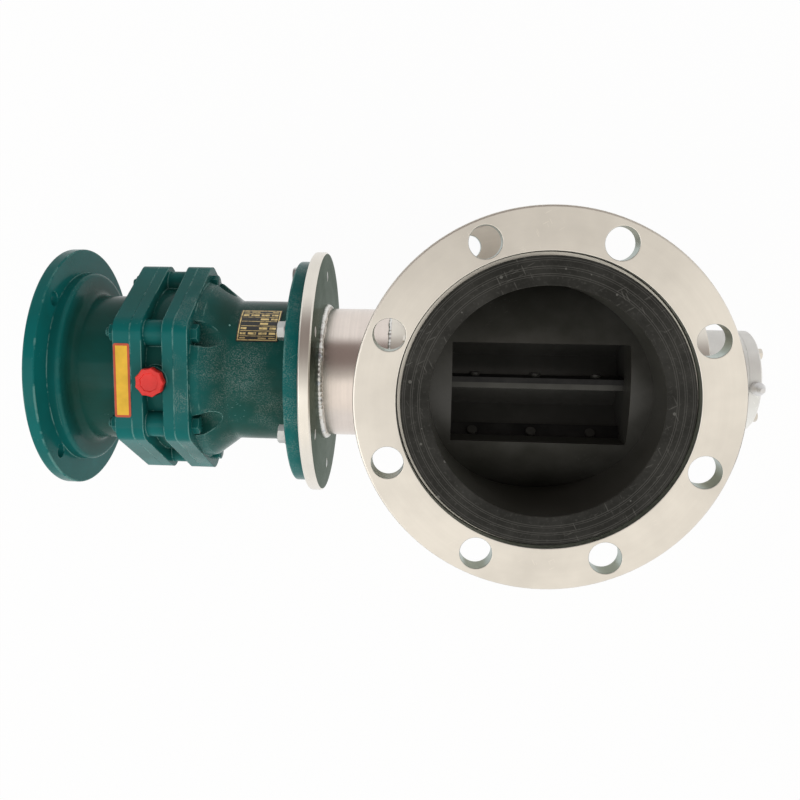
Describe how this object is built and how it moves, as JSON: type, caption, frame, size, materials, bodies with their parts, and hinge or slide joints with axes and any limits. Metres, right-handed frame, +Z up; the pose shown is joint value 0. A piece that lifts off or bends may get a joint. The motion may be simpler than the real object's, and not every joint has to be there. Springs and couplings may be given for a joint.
{
  "type": "rotary discharge valve",
  "caption": "Lined rotary discharge valve with round pipe flanges above and below, a vaned rotor, a pin-gear reducer and a bare motor flange",
  "frame": {"origin": "centre of the outlet flange's face, which the valve stands on", "axes": "+Z up the product way to the inlet flange, X along the rotor with the drive at -X"},
  "size_m": [0.704, 0.33, 0.33],
  "materials": {
    "stainless": "brushed",
    "stainless_pipe": "polished",
    "weld_metal": "rough",
    "stainless_bolts": "satin",
    "zinc_bolts": "satin",
    "bright_steel": "ground",
    "machined_steel": "machined",
    "green_casting": "gloss paint",
    "green_bolts": "gloss paint",
    "black_lining": "matte",
    "black_rubber": "matte",
    "red_plastic": "gloss",
    "black_plate": "printed",
    "yellow_label": "printed"
  },
  "bodies": {
    "valve": {"inlet_flange": "stainless", "outlet_flange": "stainless", "rotor_barrel": "stainless", "inlet_neck": "stainless", "outlet_neck": "stainless", "drive_end_cover": "stainless", "far_end_cover": "stainless", "connecting_stub": "stainless_pipe", "mounting_plate": "stainless", "far_bearing_bracket": "stainless", "far_bearing_housing": "stainless", "far_bearing_cap": "stainless", "weld_beads": "weld_metal", "grease_nipple": "bright_steel", "bearing_cap_screws": "stainless_bolts", "end_cover_bolts": "stainless_bolts", "end_cover_gaskets": "black_rubber", "shaft_seals": "black_rubber", "port_linings": "black_lining", "inlet_liner": "black_lining", "outlet_liner": "black_lining", "barrel_liner": "black_lining", "rotor_bearing_outer_rings": "bright_steel", "output_housing": "green_casting", "pin_gear_ring": "green_casting", "motor_flange_adapter": "green_casting", "plate_bolts": "zinc_bolts", "plate_bolt_washers": "zinc_bolts", "case_bolts": "green_bolts", "case_nuts": "green_bolts", "ring_pins": "bright_steel", "reducer_bearing_outer_rings": "bright_steel", "oil_filler_plug": "red_plastic", "oil_drain_plug": "zinc_bolts", "plug_sealing_rings": "black_rubber", "nameplate": "black_plate", "rim_label": "yellow_label"},
    "rotor": {"rotor_shaft": "machined_steel", "rotor_vanes": "machined_steel", "rotor_end_discs": "machined_steel", "vane_tip_strips": "black_rubber", "tip_strip_screws": "stainless_bolts", "rotor_bearing_inner_rings": "bright_steel", "rotor_bearing_rollers": "bright_steel", "shaft_retaining_ring": "machined_steel", "shaft_coupling": "machined_steel", "coupling_keys": "machined_steel", "output_shaft": "machined_steel", "output_pins": "bright_steel", "output_pin_rollers": "bright_steel", "output_bearing_inner_rings": "bright_steel", "output_bearing_rollers": "bright_steel"},
    "input": {"input_shaft": "machined_steel", "eccentric_cam": "bright_steel", "eccentric_key": "machined_steel", "cam_rollers": "bright_steel", "input_bearing_inner_rings": "bright_steel", "input_bearing_rollers": "bright_steel"},
    "disc_a": {"cycloid_disc_a": "bright_steel"},
    "disc_b": {"cycloid_disc_b": "bright_steel"}
  },
  "joints": [
    {"name": "rotor_spin", "type": "hinge", "parent": "valve", "child": "rotor", "pos_m": [0, 0, 0.165], "axis": [1, 0, 0], "continuous": true},
    {"name": "input_spin", "type": "hinge", "parent": "valve", "child": "input", "pos_m": [0, 0, 0.165], "axis": [1, 0, 0], "continuous": true},
    {"name": "disc_a_spin", "type": "hinge", "parent": "input", "child": "disc_a", "pos_m": [0, 0.002, 0.165], "axis": [1, 0, 0], "continuous": true},
    {"name": "disc_b_spin", "type": "hinge", "parent": "input", "child": "disc_b", "pos_m": [0, -0.002, 0.165], "axis": [1, 0, 0], "continuous": true}
  ],
  "couplings": [
    {"joint": "input_spin", "follows": "rotor_spin", "ratio": -17},
    {"joint": "disc_a_spin", "follows": "rotor_spin", "ratio": 18},
    {"joint": "disc_b_spin", "follows": "rotor_spin", "ratio": 18}
  ]
}
